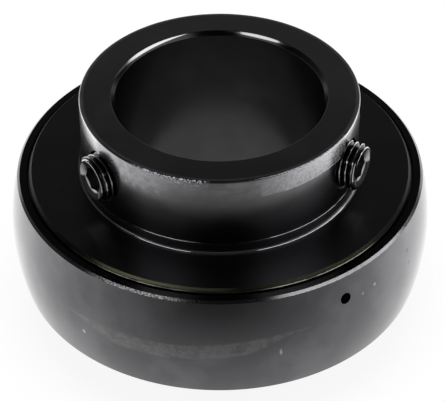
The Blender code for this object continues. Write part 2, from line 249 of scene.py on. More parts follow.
def combine(piece, other, operation):
    modifier = piece.modifiers.new(other.name, "BOOLEAN")
    modifier.operation = operation
    modifier.solver = "EXACT"
    modifier.object = other


def bakeDown(piece, *tools):
    # applies the modifiers, then removes the tools that they used
    bpy.context.view_layer.update()
    depsgraph = bpy.context.evaluated_depsgraph_get()
    mesh = bpy.data.meshes.new_from_object(piece.evaluated_get(depsgraph))
    mesh.name = piece.name
    piece.modifiers.clear()
    piece.data = mesh
    for tool in tools:
        bpy.data.objects.remove(tool, do_unlink=True)


def darkenHoles(piece):
    # faces that a cutter left have no strip number, and take the second material
    strip = readOut(piece.data.attributes["strip"].data, "value", kind=np.int32)
    piece.data.polygons.foreach_set("material_index", (strip == 0).astype(np.int32))


def standRadially(item, azimuth, distance, height):
    # local +Z points outwards from the bearing's axis
    item.rotation_euler = (math.radians(90), 0.0, math.radians(azimuth))
    item.location = outward(azimuth, distance, height) * mm


class Wiring:
    # adds nodes to one node tree; what feeds an input is a number, a colour or another node's output
    def __init__(self, tree):
        self.nodes, self.links = tree.nodes, tree.links

    def feed(self, socket, value):
        if isinstance(value, bpy.types.NodeSocket):
            self.links.new(value, socket)
        elif value is not None:
            socket.default_value = (*value, 1.0) if socket.type == "RGBA" else value

    def add(self, kind, inputs=None, **settings):
        node = self.nodes.new(kind)
        for key, value in settings.items():
            setattr(node, key, value)
        for key, value in (inputs or {}).items():
            self.feed(node.inputs[key], value)
        return node.outputs

    def use(self, group, **inputs):
        named = {key.replace("_", " "): value for key, value in inputs.items()}
        return self.add("ShaderNodeGroup", named, node_tree=group)

    def calc(self, operation, first, second=None):
        return self.add("ShaderNodeMath", {0: first, 1: second}, operation=operation)[0]

    def vector(self, operation, first, second=None):
        place = "Scale" if operation == "SCALE" else 1
        outputs = self.add("ShaderNodeVectorMath", {0: first, place: second}, operation=operation)
        return outputs["Value" if operation == "LENGTH" else "Vector"]

    def mapped(self, value, fromLow, fromHigh, toLow=0.0, toHigh=1.0, smooth=True):
        return self.add("ShaderNodeMapRange", {
            "Value": value, "From Min": fromLow, "From Max": fromHigh, "To Min": toLow, "To Max": toHigh,
        }, interpolation_type="SMOOTHSTEP" if smooth else "LINEAR")["Result"]

    def mix(self, kind, factor, first, second):
        # the Mix node has its inputs and its output for each kind at places of their own
        place, result = {"FLOAT": (2, 0), "RGBA": (6, 2)}[kind]
        return self.add("ShaderNodeMix", {0: factor, place: first, place + 1: second},
                        data_type=kind)[result]


def newGroup(name, inputs, outputs):
    # sockets by name with their usual values, where None makes a vector
    group = bpy.data.node_groups.new(name, "ShaderNodeTree")
    for way, sockets in (("INPUT", inputs), ("OUTPUT", outputs)):
        for key, value in sockets.items():
            kind = "NodeSocketVector" if value is None else "NodeSocketFloat"
            socket = group.interface.new_socket(key, in_out=way, socket_type=kind)
            if value:
                socket.default_value = value
    tree = Wiring(group)
    given = tree.nodes.new("NodeGroupInput").outputs
    out = tree.nodes.new("NodeGroupOutput").inputs
    return group, tree, given, out


def turnedPlaceGroup():
    # where a point lies on a turned piece: radius and height in mm, direction and angle round the axis
    group, tree, given, out = newGroup("turnedPlace", {"Place": None},
                                       {"Radius": 0.0, "Height": 0.0, "Round": None, "Azimuth": 0.0})
    inMillimetres = tree.vector("SCALE", given["Place"], 1 / mm)
    parts = tree.add("ShaderNodeSeparateXYZ", {0: inMillimetres})
    flat = tree.vector("MULTIPLY", inMillimetres, (1, 1, 0))
    azimuth = tree.calc("ARCTAN2", parts["X"], tree.calc("MULTIPLY", parts["Y"], -1.0))
    tree.feed(out["Radius"], tree.vector("LENGTH", flat))
    tree.feed(out["Height"], parts["Z"])
    tree.feed(out["Round"], tree.vector("NORMALIZE", flat))
    tree.feed(out["Azimuth"], tree.calc("DEGREES", azimuth))
    return group


def latheMarksGroup():
    # fine marks that run round the axis, as turning and grinding leave them
    group, tree, given, out = newGroup("latheMarks", {"Place": None, "Lines per mm": 6.0, "Breaks": 3.0},
                                       {"Marks": 0.0})
    place = tree.use(turnedPlace, Place=given["Place"])
    around = tree.vector("SCALE", place["Round"], given["Breaks"])
    heightLines = tree.calc("MULTIPLY", place["Height"], given["Lines per mm"])
    radiusLines = tree.calc("MULTIPLY", place["Radius"], given["Lines per mm"])
    upright = tree.add("ShaderNodeCombineXYZ", {"Z": heightLines})[0]
    noise = tree.add("ShaderNodeTexNoise", {
        "Vector": tree.vector("ADD", around, upright), "W": radiusLines, "Scale": 1.0, "Detail": 3.0,
        "Roughness": 0.6}, noise_dimensions="4D")
    tree.feed(out["Marks"], noise["Fac"])
    return group


def patchGroup():
    # uneven patches in the finish, from soft clouds to small specks
    group, tree, given, out = newGroup("finishPatches", {
        "Place": None, "Per mm": 0.2, "Low": 0.45, "High": 0.6, "Detail": 4.0}, {"Patches": 0.0})
    scaled = tree.vector("SCALE", given["Place"], tree.calc("MULTIPLY", given["Per mm"], 1 / mm))
    noise = tree.add("ShaderNodeTexNoise", {"Vector": scaled, "Scale": 1.0, "Detail": given["Detail"]})
    tree.feed(out["Patches"], tree.mapped(noise["Fac"], given["Low"], given["High"]))
    return group


def bandGroup():
    # 1 between two values, fading to 0 over a soft width on either side
    group, tree, given, out = newGroup("softBand", {
        "Value": 0.0, "From": 0.0, "To": 1.0, "Softness": 0.1}, {"Band": 0.0})
    below = tree.calc("SUBTRACT", given["From"], given["Softness"])
    above = tree.calc("ADD", given["To"], given["Softness"])
    rise = tree.mapped(given["Value"], below, given["From"])
    fall = tree.mapped(given["Value"], above, given["To"])
    tree.feed(out["Band"], tree.calc("MULTIPLY", rise, fall))
    return group


def nickGroup():
    # a small ragged spot round one point of the surface, the point given in mm
    group, tree, given, out = newGroup("nick", {"Place": None, "Centre": None, "Size": 0.5, "Tall": 1.0},
                                       {"Mask": 0.0})
    inMillimetres = tree.vector("SCALE", given["Place"], 1 / mm)
    away = tree.add("ShaderNodeSeparateXYZ", {0: tree.vector("SUBTRACT", inMillimetres, given["Centre"])})
    squeezed = tree.add("ShaderNodeCombineXYZ", {
        "X": away["X"], "Y": away["Y"], "Z": tree.calc("DIVIDE", away["Z"], given["Tall"])})[0]
    noise = tree.add("ShaderNodeTexNoise", {"Vector": inMillimetres, "Scale": 3.0})
    ragged = tree.calc("MULTIPLY", tree.calc("SUBTRACT", noise["Fac"], 0.5), given["Size"])
    edge = tree.calc("ADD", tree.vector("LENGTH", squeezed), ragged)
    tree.feed(out["Mask"], tree.mapped(edge, given["Size"], tree.calc("MULTIPLY", given["Size"], 0.5)))
    return group


turnedPlace = turnedPlaceGroup()
latheMarks = latheMarksGroup()
finishPatches = patchGroup()
softBand = bandGroup()
nick = nickGroup()


def newMaterial(name):
    material = bpy.data.materials.new(name)
    material.use_nodes = True
    return material, Wiring(material.node_tree)


def metalFinish(name, look):
    # one recipe for the bearing's steels: lathe marks in the bump and the roughness, soft patches
    # where the finish is thinner, and small specks
    material, tree = newMaterial(name)
    shader = tree.nodes["Principled BSDF"].inputs
    for key, value in (("Metallic", "metallic"), ("IOR", "ior"), ("Coat Weight", "oilFilm"),
                       ("Coat Roughness", "filmRoughness"), ("Coat IOR", "filmIor")):
        shader[key].default_value = look[value]
    place = tree.add("ShaderNodeTexCoord")["Object"]
    linesPerMm, breaks = look["lines"]
    marks = tree.use(latheMarks, Place=place, Lines_per_mm=linesPerMm, Breaks=breaks)["Marks"]
    perMm, low, high = look["patches"]
    patches = tree.use(finishPatches, Place=place, Per_mm=perMm, Low=low, High=high)["Patches"]
    perMm, low, high = look["specks"]
    specks = tree.use(finishPatches, Place=place, Per_mm=perMm, Low=low, High=high, Detail=2.0)["Patches"]
    colour = tree.mix("RGBA", patches, look["colour"], look["thinColour"])
    colour = tree.mix("RGBA", tree.calc("MULTIPLY", specks, look["speckAmount"]), colour,
                      look["speckColour"])
    tree.feed(shader["Base Color"], colour)
    uneven = tree.mapped(marks, *look["markReach"], *look["roughness"], smooth=False)
    patchRough = tree.calc("MULTIPLY", patches, look["patchRough"])
    tree.feed(shader["Roughness"], tree.calc("ADD", uneven, patchRough))
    bump = tree.add("ShaderNodeBump", {"Height": marks, "Strength": look["bump"],
                                       "Distance": look["bumpDepth"] * mm})
    tree.feed(shader["Normal"], bump["Normal"])
    return material


# lines: per mm, breaks round the axis; patches and specks: per mm, noise level where they begin and
# are full; roughness: where the lathe marks are low and high
steelLook = {
    "metallic": 1.0, "ior": 1.5, "oilFilm": 0.0, "filmRoughness": 0.1, "filmIor": 1.5,
    "markReach": (0.3, 0.7), "bumpDepth": 0.02,
}
outerOxideLook = {
    **steelLook, "oilFilm": 0.9, "filmRoughness": 0.16, "filmIor": 1.8,
    "colour": (0.138, 0.136, 0.148), "thinColour": (0.200, 0.197, 0.210),
    "speckColour": (0.45, 0.45, 0.46), "speckAmount": 0.5, "lines": (5.0, 2.5),
    "patches": (0.12, 0.42, 0.66), "specks": (2.2, 0.74, 0.79), "roughness": (0.14, 0.2),
    "patchRough": 0.03, "bump": 0.2,
}
innerOxideLook = {
    **outerOxideLook, "oilFilm": 0.0, "filmRoughness": 0.2, "filmIor": 1.5,
    "colour": (0.21, 0.21, 0.215), "thinColour": (0.25, 0.25, 0.255),
    "speckAmount": 0.35, "roughness": (0.18, 0.24), "bump": 0.12,
}
flingerLook = {
    **steelLook, "colour": (0.112, 0.112, 0.122), "thinColour": (0.124, 0.124, 0.134),
    "speckColour": (0.25, 0.25, 0.25), "speckAmount": 0.2, "lines": (2.0, 2.0),
    "patches": (0.15, 0.42, 0.66), "specks": (2.0, 0.76, 0.81), "roughness": (0.28, 0.3),
    "patchRough": 0.01, "bump": 0.02,
}
cutEdgeLook = {
    **steelLook, "colour": (0.095, 0.092, 0.064), "thinColour": (0.07, 0.068, 0.048),
    "speckColour": (0.03, 0.03, 0.03), "speckAmount": 0.4, "lines": (6.0, 8.0),
    "patches": (0.5, 0.4, 0.7), "specks": (3.0, 0.7, 0.75), "roughness": (0.22, 0.32),
    "patchRough": 0.05, "bump": 0.3,
}
screwLook = {
    **steelLook, "colour": (0.045, 0.045, 0.047), "thinColour": (0.07, 0.07, 0.072),
    "speckColour": (0.4, 0.4, 0.4), "speckAmount": 0.4, "lines": (5.0, 3.0),
    "patches": (0.6, 0.45, 0.65), "specks": (3.0, 0.72, 0.77), "roughness": (0.1, 0.18),
    "patchRough": 0.06, "bump": 0.15,
}
drilledLook = {
    **screwLook, "colour": (0.012, 0.012, 0.012), "thinColour": (0.02, 0.02, 0.02),
    "speckColour": (0.1, 0.1, 0.1), "roughness": (0.3, 0.4),
}
plateLook = {**cutEdgeLook, "colour": (0.42, 0.41, 0.34), "thinColour": (0.36, 0.35, 0.28)}
cageLook = {
    **steelLook, "colour": (0.50, 0.50, 0.50), "thinColour": (0.42, 0.42, 0.42),
    "speckColour": (0.2, 0.2, 0.2), "speckAmount": 0.3, "lines": (3.0, 6.0),
    "patches": (0.4, 0.4, 0.65), "specks": (2.0, 0.72, 0.77), "roughness": (0.28, 0.4),
    "patchRough": 0.06, "bump": 0.2,
}
ballLook = {
    **steelLook, "colour": (0.75, 0.75, 0.76), "thinColour": (0.70, 0.70, 0.71),
    "speckColour": (0.5, 0.5, 0.5), "speckAmount": 0.2, "lines": (8.0, 10.0),
    "patches": (0.5, 0.45, 0.7), "specks": (3.0, 0.76, 0.81), "roughness": (0.05, 0.09),
    "patchRough": 0.03, "bump": 0.03,
}
rubberLook = {
    **steelLook, "metallic": 0.0, "colour": (0.020, 0.020, 0.020), "thinColour": (0.028, 0.028, 0.028),
    "speckColour": (0.1, 0.1, 0.1), "speckAmount": 0.2, "lines": (3.0, 6.0),
    "patches": (0.6, 0.45, 0.65), "specks": (4.0, 0.72, 0.77), "roughness": (0.6, 0.75),
    "patchRough": 0.05, "bump": 0.3,
}


class Surface(Wiring):
    # the places and masks that the marks on one finished material are laid over
    def __init__(self, material, fromHeight=ballPlane):
        super().__init__(material.node_tree)
        self.material = material
        self.place = self.add("ShaderNodeTexCoord")["Object"]
        spot = self.use(turnedPlace, Place=self.place)
        self.radius, self.azimuth = spot["Radius"], spot["Azimuth"]
        self.height = self.calc("SUBTRACT", spot["Height"], fromHeight)

    def band(self, value, low, high, softness):
        return self.use(softBand, Value=value, From=low, To=high, Softness=softness)["Band"]

    def stretch(self, *azimuths):
        return self.either(*[self.band(self.azimuth, *ends) for ends in azimuths])

    def patches(self, perMm, low, high, detail=4.0):
        return self.use(finishPatches, Place=self.place, Per_mm=perMm, Low=low, High=high,
                        Detail=detail)["Patches"]

    def between(self, value, low, high=1.0):
        return self.mapped(value, 0.0, 1.0, low, high, smooth=False)

    def lines(self, least, perMm, breaks, low, high):
        marks = self.use(latheMarks, Place=self.place, Lines_per_mm=perMm, Breaks=breaks)["Marks"]
        return self.between(self.mapped(marks, low, high), least)

    def clouds(self, least, *patches):
        # patches that leave at least this much between them
        return self.between(self.patches(*patches), least)

    def both(self, first, *others):
        for other in others:
            first = self.calc("MULTIPLY", first, other)
        return first

    def either(self, first, *others):
        for other in others:
            first = self.calc("MAXIMUM", first, other)
        return first

    def lay(self, mask, colour=None, roughness=None, oilFilm=None, metallic=None):
        shader = self.nodes["Principled BSDF"].inputs
        for key, kind, value in (("Base Color", "RGBA", colour), ("Roughness", "FLOAT", roughness),
                                 ("Coat Weight", "FLOAT", oilFilm), ("Metallic", "FLOAT", metallic)):
            if value is None:
                continue
            socket = shader[key]
            before = socket.links[0].from_socket if socket.is_linked else socket.default_value
            self.feed(socket, self.mix(kind, mask, before, value))


# Wear, painted highlights and painted shade. Each mark has the finish that it lays, and where. A pair of
# numbers is where a mask begins and where it is full; three are a stretch that it covers, from and to,
# with the width of its soft ends.
# Patches are (per mm, noise level where they begin, where they are full, detail). Clouds are the same
# after how much they leave in between, and lines have their breaks round the axis in second place.
outerMarks = {
    "face": {"colour": (0.06, 0.06, 0.062), "oilFilm": 0.0},
    "faceHeight": (9.93, 9.96), "faceRadius": (34.3, 34.24),
    "rubbedAndHighlight": {"colour": (0.33, 0.32, 0.31), "roughness": 0.34},
    "rubbedTop": (1.1, 2.9), "topAzimuth": (-18.0, 20.0), "topEdge": (0.2, -0.15),
    "rubbedTall": (0.25, 2.9), "tallAzimuth": (-27.0, 5.0, 16.0), "lowEdge": (-0.3, 0.3),
    "rubbedAzimuth": (-40.0, 20.0, 5.0), "rubbedLines": (0.75, 2.0, 5.0, 0.35, 0.65),
    "rubbedClouds": [(0.3, 0.6, 0.36, 0.54, 8.0), (0.55, 1.5, 0.38, 0.62, 8.0)], "rubbedMost": 0.8,
    "chamferHeight": (9.6, 9.97, 0.06), "chamferRadius": (34.24, 34.34),
    # painted highlight on the chamfer's worn bare steel, laid only at the azimuths where the lamps mirror
    "wearAndHighlight": {"colour": (0.46, 0.46, 0.47), "roughness": 0.24, "oilFilm": 0.2},
    "highlightAzimuths": [(20.0, 66.0, 6.0), (-36.0, -14.0, 6.0)], "wornClouds": (0.45, 1.1, 0.35, 0.55, 6.0),
    "chips": {"colour": (0.15, 0.15, 0.155), "roughness": 0.3, "oilFilm": 0.0},
    "chipAzimuth": (-38.0, -6.0, 4.0), "chipPatches": (3.4, 0.42, 0.6, 6.0),
    # each nick's azimuth, height, size, height over width, and colour
    "nicks": [(-38.8, -2.39, 0.42, 1.0, (0.75, 0.74, 0.72)), (15.7, -0.97, 0.3, 2.6, (0.6, 0.6, 0.6)),
              (60.7, 5.66, 0.42, 1.0, (0.03, 0.03, 0.03)), (61.4, 2.8, 0.35, 1.0, (0.04, 0.04, 0.04)),
              (45.0, 5.2, 0.4, 1.0, (0.42, 0.42, 0.5)), (40.5, 4.9, 0.3, 1.0, (0.38, 0.38, 0.44))],
}


def outerRingFinish(look, wear):
    surface = Surface(metalFinish("outerRingBlackOxide", look))
    level = surface.calc("ABSOLUTE", surface.height)
    face = surface.both(surface.mapped(level, *wear["faceHeight"]),
                        surface.mapped(surface.radius, *wear["faceRadius"]))
    surface.lay(face, **wear["face"])
    top = surface.mapped(surface.azimuth, *wear["topAzimuth"], *wear["rubbedTop"])
    tall = surface.between(surface.stretch(wear["tallAzimuth"]), *wear["rubbedTall"])
    fromTop = surface.calc("SUBTRACT", surface.height, top)
    fromLow = surface.calc("SUBTRACT", surface.height, surface.calc("SUBTRACT", top, tall))
    rubbedAndHighlight = surface.both(surface.mapped(fromTop, *wear["topEdge"]),
                          surface.mapped(fromLow, *wear["lowEdge"]),
                          surface.stretch(wear["rubbedAzimuth"]),
                          *[surface.clouds(*cloud) for cloud in wear["rubbedClouds"]],
                          surface.lines(*wear["rubbedLines"]))
    surface.lay(surface.between(rubbedAndHighlight, 0.0, wear["rubbedMost"]), **wear["rubbedAndHighlight"])
    chamfer = surface.band(level, *wear["chamferHeight"])
    # painted highlight: worn chamfer steel at the azimuths where the lamps mirror
    wearAndHighlight = surface.both(chamfer, surface.clouds(*wear["wornClouds"]),
                        surface.mapped(surface.radius, *wear["chamferRadius"]),
                        surface.stretch(*wear["highlightAzimuths"]))
    surface.lay(wearAndHighlight, **wear["wearAndHighlight"])
    chips = surface.both(chamfer, surface.stretch(wear["chipAzimuth"]),
                         surface.patches(*wear["chipPatches"]))
    surface.lay(chips, **wear["chips"])
    for azimuth, height, size, tall, colour in wear["nicks"]:
        distance = math.sqrt(outerRing["sphereRadius"] ** 2 - height ** 2)
        centre = outward(azimuth, distance, height + ballPlane)
        mark = surface.use(nick, Place=surface.place, Centre=centre, Size=size, Tall=tall)
        surface.lay(mark["Mask"], colour=colour)
    return surface.material


innerMarks = {
    "outside": (22.6, 22.9), "skin": (23.15, 23.3),
    # painted shade: the outside darkens towards the flinger
    "lowShade": {"colour": (0.10, 0.10, 0.103)}, "lowShadeHeight": (18.5, 13.5),
    "bare": {"colour": (0.60, 0.60, 0.62)}, "bareHeight": (18.6, 25.2),
    "bareClouds": (0.62, 0.45, 0.3, 0.7, 6.0), "bareLines": (0.7, 3.0, 9.0, 0.3, 0.7),
    # a scrubbed patch, lightened into a painted reflection on the right of the outside, with a painted
    # highlight along its lower border
    "scrubbedAndSheen": {"colour": (0.95, 0.95, 1.0), "roughness": 0.3, "metallic": 0.75},
    "scrubbedAzimuth": (17.0, 60.0, 1.5), "scrubbedLow": 21.65, "scrubbedEdge": (-0.15, 0.15),
    "fadeAzimuth": (17.0, 32.0), "fadeFrom": 0.4, "scrubbedGrain": (0.45, 1.6, 0.3, 0.7, 3.0),
    "border": {"colour": (0.98, 0.98, 1.0), "roughness": 0.4, "metallic": 0.5},
    "borderAzimuth": (27.0, 58.0, 2.0), "borderWidth": (-0.02, 0.1, 0.08),
    "borderPatches": (1.0, 0.35, 0.5),
    # painted sheen: a lighter zone on the left of the outside
    "bright": {"colour": (0.60, 0.60, 0.62)}, "brightAzimuth": (-46.0, -26.0, 7.0),
    "brightHeight": (19.8, 21.8), "brightPatches": (0.9, 0.3, 0.7, 6.0), "brightMix": (0.2, 0.9),
    # painted highlight along the top edge at the left front, where the left lamp mirrors
    "edge": {"colour": (0.92, 0.93, 1.0), "roughness": 0.4, "metallic": 0.2},
    "edgeAzimuth": (-32.0, -9.0, 6.0), "edgeHeight": (23.8, 24.9), "edgePatches": (3.0, 0.46, 0.6, 6.0),
    # painted highlights: a patch on the left of the outside and a line along the top edge at the right
    "highlights": {"colour": (0.88, 0.88, 0.89)},
    "highlightLeft": (-74.0, -60.0, 5.0), "leftHeight": (21.8, 23.4),
    "highlightRight": (30.0, 74.0, 6.0), "rightHeight": (24.7, 25.0),
    "mouth": {"colour": (0.06, 0.06, 0.061), "roughness": 0.2},
    "mouthRadius": (17.55, 18.15, 0.04), "mouthHeight": (24.6, 24.8),
    # each painted highlight arc's middle and half its length, and the radii from its middle to its tips
    "arc": {"colour": (0.62, 0.62, 0.64), "roughness": 0.12},
    "arcs": [(-134.0, 32.0), (157.0, 23.0)], "arcRadius": (17.72, 18.14), "arcEdge": (-0.03, 0.06),
}


def innerRingFinish(look, wear):
    surface = Surface(metalFinish("innerRingBlackOxide", look))
    outside = surface.mapped(surface.radius, *wear["outside"])
    skin = surface.mapped(surface.radius, *wear["skin"])
    # painted shade: darker towards the flinger
    lowShade = surface.mapped(surface.height, *wear["lowShadeHeight"])
    surface.lay(surface.both(lowShade, outside), **wear["lowShade"])
    bare = surface.both(surface.mapped(surface.height, *wear["bareHeight"]), outside,
                        surface.clouds(*wear["bareClouds"]), surface.lines(*wear["bareLines"]))
    surface.lay(bare, **wear["bare"])
    above = surface.calc("SUBTRACT", surface.height, wear["scrubbedLow"])
    # a scrubbed patch that is also a painted reflection
    scrubbedAndSheen = surface.both(surface.mapped(above, *wear["scrubbedEdge"]), skin,
                            surface.stretch(wear["scrubbedAzimuth"]),
                            surface.mapped(surface.azimuth, *wear["fadeAzimuth"], wear["fadeFrom"]),
                            surface.clouds(*wear["scrubbedGrain"]))
    surface.lay(scrubbedAndSheen, **wear["scrubbedAndSheen"])
    # painted highlight along the lower border of that patch
    border = surface.both(surface.band(above, *wear["borderWidth"]), skin,
                          surface.stretch(wear["borderAzimuth"]),
                          surface.patches(*wear["borderPatches"]))
    surface.lay(border, **wear["border"])
    # painted sheen on the left of the outside
    bright = surface.both(surface.mapped(surface.height, *wear["brightHeight"]), outside,
                          surface.stretch(wear["brightAzimuth"]),
                          surface.between(surface.patches(*wear["brightPatches"]), *wear["brightMix"]))
    surface.lay(bright, **wear["bright"])
    # painted highlight along the top edge at the left front
    edge = surface.both(surface.mapped(surface.height, *wear["edgeHeight"]), skin,
                        surface.stretch(wear["edgeAzimuth"]), surface.patches(*wear["edgePatches"]))
    surface.lay(edge, **wear["edge"])
    # painted highlights on the left of the outside and along the top edge at the right
    left, right = (surface.both(surface.stretch(wear[azimuths]),
                                surface.mapped(surface.height, *wear[heights]))
                   for azimuths, heights in (("highlightLeft", "leftHeight"),
                                             ("highlightRight", "rightHeight")))
    surface.lay(surface.both(skin, surface.either(left, right)), **wear["highlights"])
    mouth = surface.both(surface.band(surface.radius, *wear["mouthRadius"]),
                         surface.mapped(surface.height, *wear["mouthHeight"]))
    surface.lay(mouth, **wear["mouth"])
    # painted highlights: bright arcs on the bore's mouth, where the lamps mirror
    for azimuth, span in wear["arcs"]:
        aside = surface.calc("DIVIDE", surface.calc("SUBTRACT", surface.azimuth, azimuth), span)
        reach = surface.between(surface.calc("MULTIPLY", aside, aside), *wear["arcRadius"])
        inward = surface.mapped(surface.calc("SUBTRACT", surface.radius, reach), *wear["arcEdge"])
        surface.lay(surface.both(mouth, inward), **wear["arc"])
    return surface.material


flingerMarks = {
    # painted highlight: a bright line on the collar's top edge, only where the lamps mirror
    "seamHighlight": {"colour": (0.66, 0.66, 0.68), "roughness": 0.2},
    "seamHighlightAzimuths": [(-32.0, -10.0, 4.0), (22.0, 62.0, 4.0)], "seamHeight": (12.58, 12.61),
    "seamRadius": (23.62, 23.6), "seamPatches": (0.35, 0.3, 0.5),
    # a rubbed line along the bend, brightened into a painted highlight
    "bend": {"colour": (1.0, 1.0, 1.0), "roughness": 0.1}, "bendAzimuth": (-34.0, 100.0, 14.0),
    "bendHeight": (10.82, 11.2, 0.04), "bendRadius": (23.88, 24.3, 0.04),
    # painted highlight: brighter olive on the upper cut edge at the left front, where the lamps mirror
    "cut": {"colour": (0.34, 0.33, 0.23), "roughness": 0.34},
    "cutAzimuth": (-33.0, -2.0, 9.0), "cutHeight": (10.36, 10.4),
    "burr": {"colour": (0.4, 0.39, 0.34), "roughness": 0.22},
    "burrHeight": (10.27, 10.24), "burrClouds": (0.2, 0.4, 0.35, 0.5),
    "shade": {"colour": (0.025, 0.025, 0.02), "roughness": 0.3}, "unshaded": (-38.0, 42.0, 12.0),
}


def flingerFinish(look, wear):
    surface = Surface(metalFinish("flingerBlack", look))
    level = surface.calc("ABSOLUTE", surface.height)
    # painted highlight on the collar's top edge
    seamHighlight = surface.both(surface.mapped(level, *wear["seamHeight"]),
                        surface.mapped(surface.radius, *wear["seamRadius"]),
                        surface.stretch(*wear["seamHighlightAzimuths"]), surface.patches(*wear["seamPatches"]))
    surface.lay(seamHighlight, **wear["seamHighlight"])
    # painted highlight along the bend, on a rubbed line
    bend = surface.both(surface.band(level, *wear["bendHeight"]),
                        surface.band(surface.radius, *wear["bendRadius"]),
                        surface.stretch(wear["bendAzimuth"]))
    surface.lay(bend, **wear["bend"])
    return surface.material


def cutEdgeFinish(look, wear):
    surface = Surface(metalFinish("flingerCutEdge", look))
    level = surface.calc("ABSOLUTE", surface.height)
    # painted highlight on the upper cut edge at the left front
    rubbedAndHighlight = surface.both(surface.stretch(wear["cutAzimuth"]), surface.mapped(level, *wear["cutHeight"]))
    surface.lay(rubbedAndHighlight, **wear["cut"])
    burr = surface.both(surface.mapped(level, *wear["burrHeight"]), surface.clouds(*wear["burrClouds"]))
    surface.lay(burr, **wear["burr"])
    surface.lay(surface.calc("SUBTRACT", 1.0, surface.stretch(wear["unshaded"])), **wear["shade"])
    return surface.material


# heights from the screw's outer end
screwMarks = {
    "end": {"colour": (0.018, 0.018, 0.018), "roughness": 0.4},
    "endHeight": (-0.7, -0.6), "endRadius": (2.0, 3.4, 0.05),
    # painted reflection: lighter grey patches on the end face at both sides
    "patch": {"colour": (0.5, 0.5, 0.51), "roughness": 0.3},
    "patchRadius": (2.42, 3.2, 0.06), "patchTurn": (66.0, 112.0, 10.0),
    "crest": {"colour": (0.95, 0.95, 0.96), "roughness": 0.12}, "crestRadius": (3.84, 3.88),
    "crestHeight": (-0.45, -0.55), "crestClouds": (0.35, 1.0, 0.4, 0.6),
    "rimRadius": (3.46, 3.56, 0.04), "rimHeight": (-0.4, -0.3),
    "socket": {"colour": (0.40, 0.40, 0.41), "roughness": 0.28},
    "socketRadius": (2.42, 2.36), "socketHeight": (-3.0, -0.1, 0.05),
}


def screwFinish(look, wear):
    surface = Surface(metalFinish("grubScrewBlack", look), fromHeight=0.0)
    atEnd = surface.mapped(surface.height, *wear["endHeight"])
    surface.lay(surface.both(atEnd, surface.band(surface.radius, *wear["endRadius"])), **wear["end"])
    turn = surface.calc("ABSOLUTE", surface.azimuth)
    # painted reflection on both sides of the end face
    patch = surface.both(atEnd, surface.band(surface.radius, *wear["patchRadius"]),
                         surface.band(turn, *wear["patchTurn"]))
    surface.lay(patch, **wear["patch"])
    crest = surface.both(surface.mapped(surface.radius, *wear["crestRadius"]),
                         surface.mapped(surface.height, *wear["crestHeight"]),
                         surface.clouds(*wear["crestClouds"]))
    rim = surface.both(surface.band(surface.radius, *wear["rimRadius"]),
                       surface.mapped(surface.height, *wear["rimHeight"]))
    surface.lay(surface.either(crest, rim), **wear["crest"])
    inside = surface.both(surface.mapped(surface.radius, *wear["socketRadius"]),
                          surface.band(surface.height, *wear["socketHeight"]))
    surface.lay(inside, **wear["socket"])
    return surface.material


innerOxide = innerRingFinish(innerOxideLook, innerMarks)
flingerBlack = flingerFinish(flingerLook, flingerMarks)
flingerCutEdge = cutEdgeFinish(cutEdgeLook, flingerMarks)
screwBlack = screwFinish(screwLook, screwMarks)
drilledBlack = metalFinish("drilledHoleBlack", drilledLook)
plateSteel = metalFinish("sealPlateSteel", plateLook)
cageSteel = metalFinish("cageSteel", cageLook)
ballSteel = metalFinish("ballSteel", ballLook)
lipRubber = metalFinish("lipRubber", rubberLook)
print("scene: materials made")


def dressed(piece, body, slotName, materials, *replaced):
    for material in materials:
        piece.data.materials.append(material)
    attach(piece, body)
    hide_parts(*replaced)


outerRing = {
    "sphereRadius": 36.0, "edgeChamfer": 0.4, "chamferWidth": 0.42, "edgeRound": 0.07,
    "recessRadius": 32.9, "recessChamfer": 0.2, "grooveRadius": 33.4, "grooveLow": 7.5, "grooveHigh": 8.2,
    "landRadius": 31.2, "racewayBottom": 32.39, "racewaySection": 5.778, "sphereSteps": 56,
    "racewaySteps": 28,
    "oilHoleRadius": 1.0, "oilHoleAzimuth": 34.7, "oilHoleBeyondRaceway": 2.2,
}
outerOxide = outerRingFinish(outerOxideLook, outerMarks)


